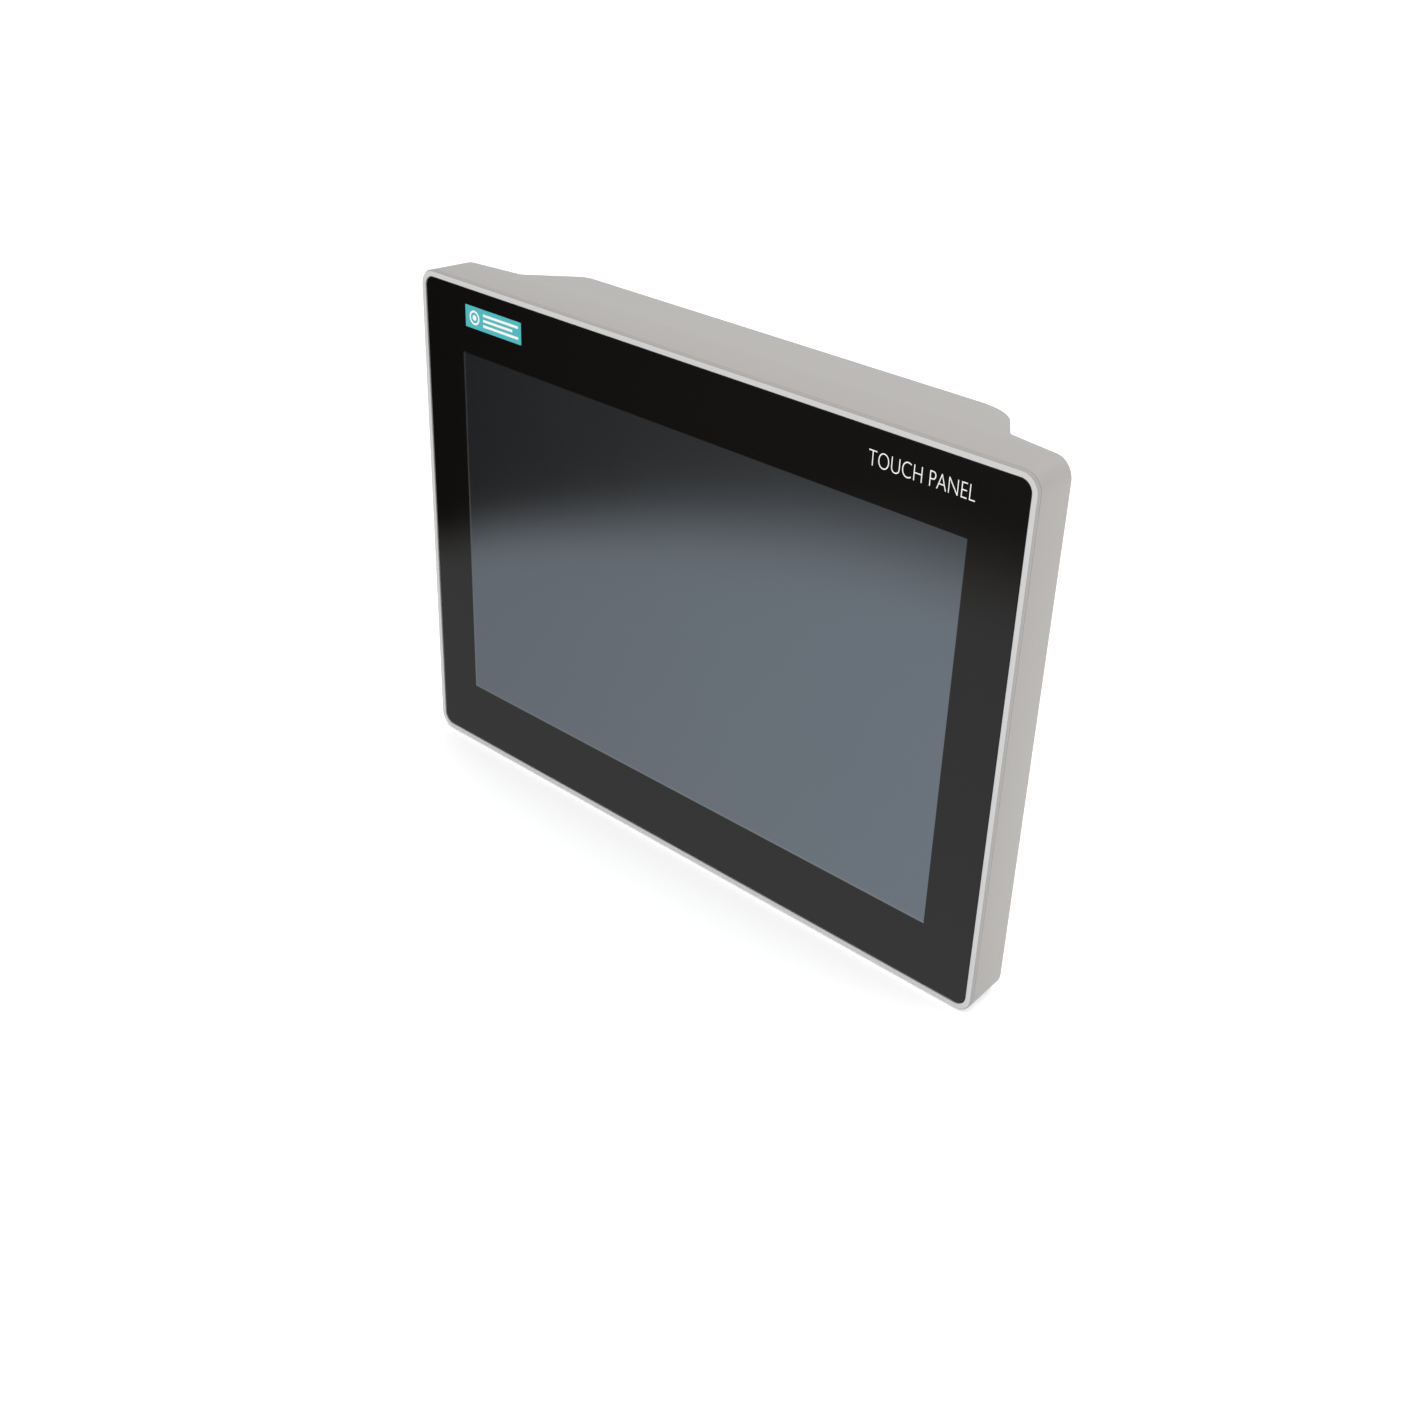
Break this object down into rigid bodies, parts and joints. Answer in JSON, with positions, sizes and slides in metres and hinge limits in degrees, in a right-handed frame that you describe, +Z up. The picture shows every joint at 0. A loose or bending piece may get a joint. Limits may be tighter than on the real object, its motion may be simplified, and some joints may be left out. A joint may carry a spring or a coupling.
{
  "type": "hmi touch panel",
  "caption": "Enclosed industrial touch panel: wide screen behind black glass in a thin bright rim, drafted cast housing with rear hump, connection cover and arm flange below.",
  "frame": {"origin": "middle of the bounding box at its lowest edge, on the surface that the panel stands on", "axes": "+X to the operator's right, +Y from the screen towards the rear, +Z up"},
  "size_m": [0.3124, 0.0524, 0.2255],
  "materials": {
    "housing_paint": "fine matt light grey powder coat on cast aluminium",
    "rim_aluminium": "satin bright machined edge",
    "black_glass": "polished glass, printed black from behind round the screen",
    "display_face": "dark display, softly reflecting",
    "clear_film": "clear sheet",
    "seal_rubber": "matt black rubber",
    "zinc_sheet": "zinc-plated sheet",
    "screw_steel": "stainless steel",
    "connector_shell": "tinned sheet shell",
    "circuit_board": "green solder resist",
    "black_moulding": "fine-grained black plastic",
    "green_moulding": "green plastic",
    "bare_aluminium": "machined, lightly blasted",
    "stud_brass": "turned brass",
    "ribbon_film": "amber flexible circuit",
    "label_foil": "silver foil label"
  },
  "bodies": {
    "housing": {"front_frame": "rim_aluminium", "front_glass": "black_glass", "glass_seal": "seal_rubber", "touch_sensor": "clear_film", "housing_seal": "seal_rubber", "lcd_bezel": "zinc_sheet", "lcd_cell": "display_face", "light_guide": "clear_film", "backlight_tray": "zinc_sheet", "lcd_bracket_top": "zinc_sheet", "lcd_bracket_bottom": "zinc_sheet", "chassis_plate": "zinc_sheet", "main_board": "circuit_board", "processor": "black_moulding", "heat_spreader": "bare_aluminium", "connector_plate": "zinc_sheet", "power_socket": "green_moulding", "ethernet_port_1": "connector_shell", "ethernet_port_2": "connector_shell", "usb_port_1": "connector_shell", "usb_port_2": "connector_shell", "serial_port": "connector_shell", "card_cage": "connector_shell", "rear_housing": "housing_paint", "support_flange": "bare_aluminium", "flange_seal": "seal_rubber", "service_port": "connector_shell", "flap_pin": "screw_steel", "vent_plug": "black_moulding", "earth_stud": "screw_steel", "earth_nut": "stud_brass", "rating_plate": "label_foil", "display_cable": "ribbon_film", "touch_cable": "ribbon_film", "housing_screw_1": "screw_steel", "housing_screw_2": "screw_steel", "housing_screw_3": "screw_steel", "housing_screw_4": "screw_steel", "housing_screw_5": "screw_steel", "housing_screw_6": "screw_steel", "flange_screw_1": "screw_steel", "flange_screw_2": "screw_steel", "flange_screw_3": "screw_steel", "flange_screw_4": "screw_steel", "board_standoff_1": "stud_brass", "board_standoff_2": "stud_brass", "board_standoff_3": "stud_brass", "board_standoff_4": "stud_brass"},
    "cover": {"connection_cover": "housing_paint", "cover_seal": "seal_rubber", "cover_screw_1": "screw_steel", "cover_screw_2": "screw_steel", "cover_screw_3": "screw_steel", "cover_screw_4": "screw_steel", "cover_screw_5": "screw_steel", "cover_screw_6": "screw_steel"},
    "plug": {"power_plug": "green_moulding"},
    "card_1": {"memory_card_1": "black_moulding"},
    "card_2": {"memory_card_2": "black_moulding"},
    "flap": {"service_flap": "black_moulding"}
  },
  "joints": [
    {"name": "cover_lift", "type": "slide", "parent": "housing", "child": "cover", "axis": [0, 1, 0], "range_m": [0, 0.06]},
    {"name": "plug_pull", "type": "slide", "parent": "housing", "child": "plug", "axis": [0, 0, -1], "range_m": [0, 0.014]},
    {"name": "card_1_slide", "type": "slide", "parent": "housing", "child": "card_1", "axis": [0, 0, -1], "range_m": [0, 0.03]},
    {"name": "card_2_slide", "type": "slide", "parent": "housing", "child": "card_2", "axis": [0, 0, -1], "range_m": [0, 0.03]},
    {"name": "flap_hinge", "type": "hinge", "parent": "housing", "child": "flap", "pos_m": [0.077, 0.02385, 0.1414], "axis": [1, 0, 0], "range_deg": [0, 95]}
  ]
}
